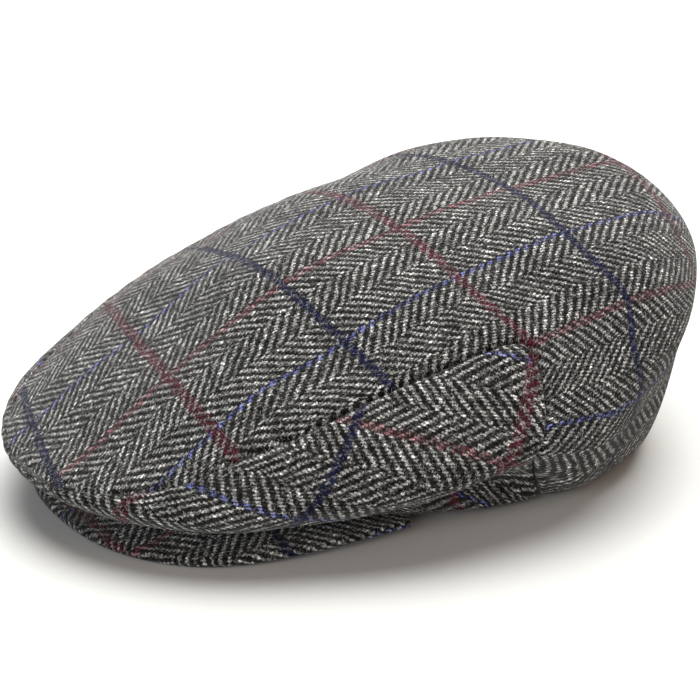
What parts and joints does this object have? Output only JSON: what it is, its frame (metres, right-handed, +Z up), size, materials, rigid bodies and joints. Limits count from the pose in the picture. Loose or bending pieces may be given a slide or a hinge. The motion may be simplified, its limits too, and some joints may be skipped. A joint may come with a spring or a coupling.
{
  "type": "flat cap",
  "caption": "Low rounded cloth cap with a soft crown that overhangs a short stiff peak, sewn from a long top panel and side panels, open below for the head",
  "frame": {"origin": "middle of the footprint on the surface that the cap lies on", "axes": "+Z up; the peak faces -Y and the back of the head is at +Y; +X is the wearer's left"},
  "size_m": [0.215, 0.2728, 0.0971],
  "materials": {
    "crown_tweed": "brushed woollen herringbone tweed with a blue and red overcheck",
    "side_tweed": "brushed woollen herringbone tweed with a blue and red overcheck",
    "peak_tweed": "brushed woollen herringbone tweed drawn over a stiff plate"
  },
  "bodies": {
    "root": {"top_panel": "crown_tweed", "side_panel_left": "side_tweed", "side_panel_right": "side_tweed", "peak": "peak_tweed"}
  },
  "joints": []
}
